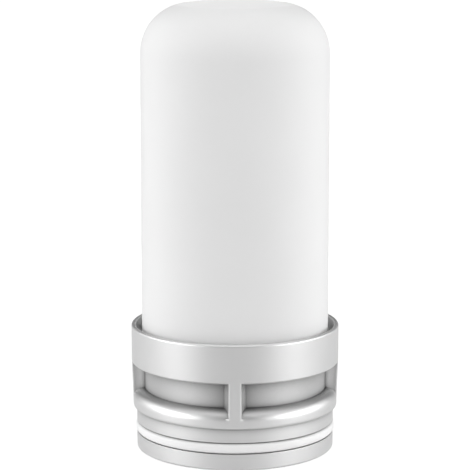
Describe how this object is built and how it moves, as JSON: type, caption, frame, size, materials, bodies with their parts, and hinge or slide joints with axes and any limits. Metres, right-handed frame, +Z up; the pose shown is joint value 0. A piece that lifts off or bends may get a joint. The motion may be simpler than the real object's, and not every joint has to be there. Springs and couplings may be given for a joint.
{
  "type": "water filter cartridge",
  "caption": "Plug-in ceramic filter cartridge for a tap-mounted water purifier: domed candle in a windowed plastic base with an O-ring spigot.",
  "frame": {"origin": "centre of the spigot's bottom face, on the surface that the cartridge stands on", "axes": "+Z up the cartridge's axis to the candle's dome; one rib of the cage lies on each of +X, +Y, -X and -Y"},
  "size_m": [0.043, 0.043, 0.092],
  "materials": {
    "porous_ceramic": "matt, fine-grained, unglazed",
    "grey_plastic": "satin moulded ABS",
    "white_silicone": "satin silicone",
    "cured_resin": "cast resin",
    "white_fleece": "matt non-woven fibre",
    "granular_carbon": "matt black granules",
    "mineral": "matt fired mineral",
    "screen_steel": "fine woven stainless steel"
  },
  "bodies": {
    "root": {"ceramic_candle": "porous_ceramic", "collar_cage": "grey_plastic", "end_cap": "grey_plastic", "o_ring": "white_silicone", "bond_ring": "cured_resin", "dome_fleece": "white_fleece", "carbon_bed": "granular_carbon", "divider_fleece": "white_fleece", "mineral_balls": "mineral", "base_fleece": "white_fleece", "outlet_screen": "screen_steel", "support_grid": "grey_plastic"}
  },
  "joints": []
}
